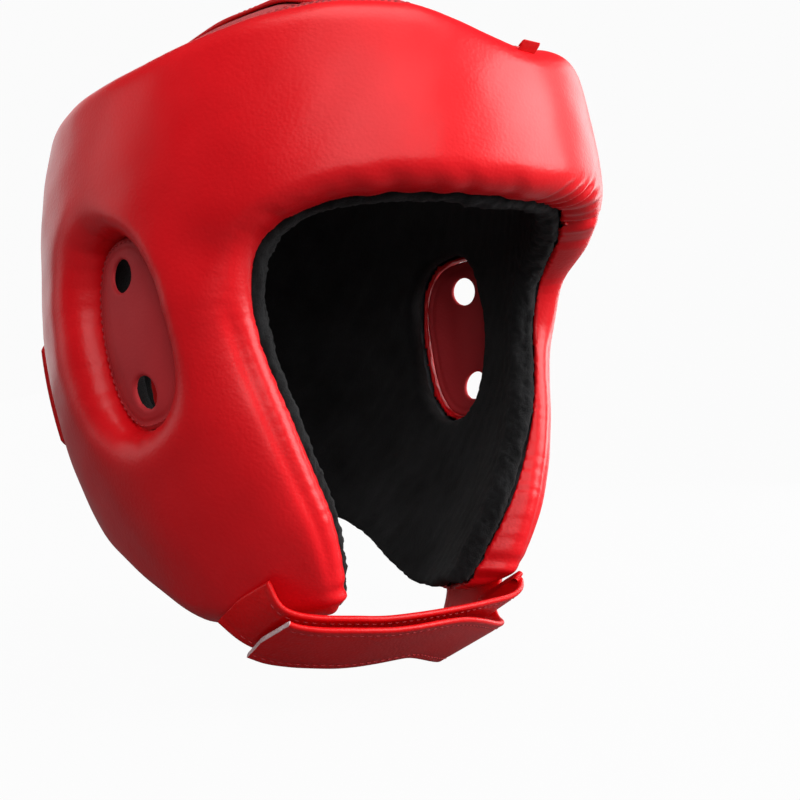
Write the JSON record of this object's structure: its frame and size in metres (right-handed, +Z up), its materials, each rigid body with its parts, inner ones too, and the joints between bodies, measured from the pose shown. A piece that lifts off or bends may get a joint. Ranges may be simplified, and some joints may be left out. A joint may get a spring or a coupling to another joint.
{
  "type": "boxing headgear",
  "caption": "Padded open-face boxing head guard with a rounded outer cover, dark lining, ear recesses, a laced crown and touch-fastened chin and rear straps.",
  "frame": {"origin": "middle of the underside of the whole object's box, level with the lower face of the chin strap", "axes": "+Z up, -Y the way the wearer looks, +X to the wearer's left"},
  "size_m": [0.2234, 0.2582, 0.2883],
  "materials": {
    "cover_leather": "semi-gloss fine pebble grain",
    "ear_leather": "dull, flat",
    "strap_leather": "semi-gloss grain, pale raw cut ends",
    "ribbed_fabric": "ribbed weave, matte",
    "suede_lining": "short suede nap, matte",
    "impact_foam": "closed-cell foam",
    "touch_tape": "hook and loop pile, matte",
    "eyelet_metal": "nickel plated",
    "lace_cord": "braided cord, matte"
  },
  "bodies": {
    "shell": {"outer_cover": "cover_leather", "foam_forehead": "impact_foam", "foam_side_right": "impact_foam", "foam_side_left": "impact_foam", "foam_rear_right": "impact_foam", "foam_rear_left": "impact_foam", "inner_lining": "suede_lining", "ear_cover_right": "ear_leather", "ear_cover_left": "ear_leather", "crown_panel_right": "ribbed_fabric", "crown_panel_left": "ribbed_fabric", "crown_facing_right": "cover_leather", "crown_facing_left": "cover_leather", "crown_eyelet_right_1": "eyelet_metal", "crown_eyelet_right_2": "eyelet_metal", "crown_eyelet_right_3": "eyelet_metal", "crown_eyelet_right_4": "eyelet_metal", "crown_eyelet_right_5": "eyelet_metal", "crown_eyelet_left_1": "eyelet_metal", "crown_eyelet_left_2": "eyelet_metal", "crown_eyelet_left_3": "eyelet_metal", "crown_eyelet_left_4": "eyelet_metal", "crown_eyelet_left_5": "eyelet_metal", "crown_lace": "lace_cord", "hanging_loop": "cover_leather", "chin_anchor_right": "strap_leather", "chin_anchor_left": "strap_leather", "rear_anchor": "strap_leather", "rear_loop_patch": "touch_tape"},
    "outer_chin_strap": {"chin_strap_outer": "strap_leather", "chin_hook_patch": "touch_tape"},
    "inner_chin_strap": {"chin_strap_inner": "strap_leather", "chin_loop_patch": "touch_tape"},
    "rear_closure": {"rear_strap": "strap_leather", "rear_hook_patch": "touch_tape"}
  },
  "joints": [
    {"name": "chin_strap_fold", "type": "hinge", "parent": "shell", "child": "outer_chin_strap", "pos_m": [0.08334, -0.01646, 0.03718], "axis": [0.2916, -0.7751, 0.5606], "range_deg": [0, 90]},
    {"name": "inner_strap_droop", "type": "hinge", "parent": "shell", "child": "inner_chin_strap", "pos_m": [-0.07609, -0.04825, 0.03753], "axis": [0.0276, 0.8079, -0.5887], "range_deg": [0, 11]},
    {"name": "rear_strap_fold", "type": "hinge", "parent": "shell", "child": "rear_closure", "pos_m": [0.06126, 0.10511, 0.11527], "axis": [-0.1072, -0.1895, -0.976], "range_deg": [0, 110]}
  ],
  "couplings": [
    {"joint": "inner_strap_droop", "follows": "chin_strap_fold", "ratio": 0.12}
  ]
}
